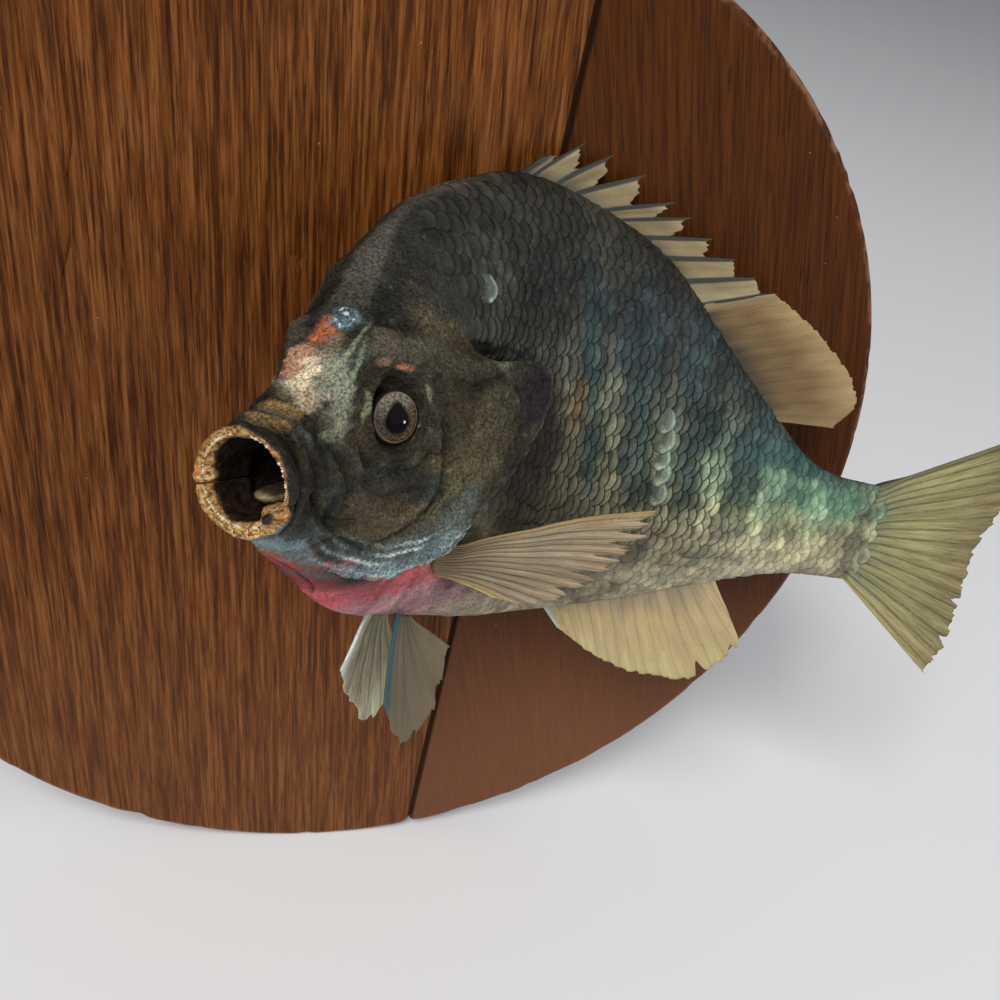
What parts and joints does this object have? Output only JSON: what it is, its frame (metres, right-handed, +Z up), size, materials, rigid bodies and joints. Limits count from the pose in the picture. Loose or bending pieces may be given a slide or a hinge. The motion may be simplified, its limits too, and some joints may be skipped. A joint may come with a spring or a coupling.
{
  "type": "mounted bluegill sunfish on a round wall board",
  "caption": "Life-size mounted bluegill sunfish, mouth open and body bent, fixed by its far flank to a round wooden wall board.",
  "frame": {"origin": "centre of the board's flat back, which lies on the wall", "axes": "+Z up along the joint between the planks, +Y into the wall, +X towards the fish's tail; the fish is in front, at -Y"},
  "size_m": [0.2541, 0.0879, 0.2286],
  "materials": {
    "board_wood": "satin reddish-brown hardwood, open grain, thin worn varnish",
    "skin": "dried painted fish skin under satin varnish, dark olive and blue-black with a crimson breast",
    "jaw": "dried jaw skin and crumbled ochre bone",
    "tongue": "dried dark olive-brown flesh",
    "eye": "clear domed glass over a painted silver-brass iris and black pupil",
    "fin": "dry translucent fin membrane, cream to olive-yellow, with darker rays"
  },
  "bodies": {
    "root": {"board": "board_wood", "trunk": "skin", "tail_stem": "skin", "head": "skin", "throat": "skin", "gill_cover_left": "skin", "gill_cover_right": "skin", "upper_jaw": "jaw", "lower_jaw": "jaw", "tongue": "tongue", "eye_left": "eye", "eye_right": "eye", "spiny_dorsal_fin": "fin", "soft_dorsal_fin": "fin", "anal_fin": "fin", "tail_fin": "fin", "pectoral_fin_left": "fin", "pectoral_fin_right": "fin", "pelvic_fin_left": "fin", "pelvic_fin_right": "fin"}
  },
  "joints": []
}
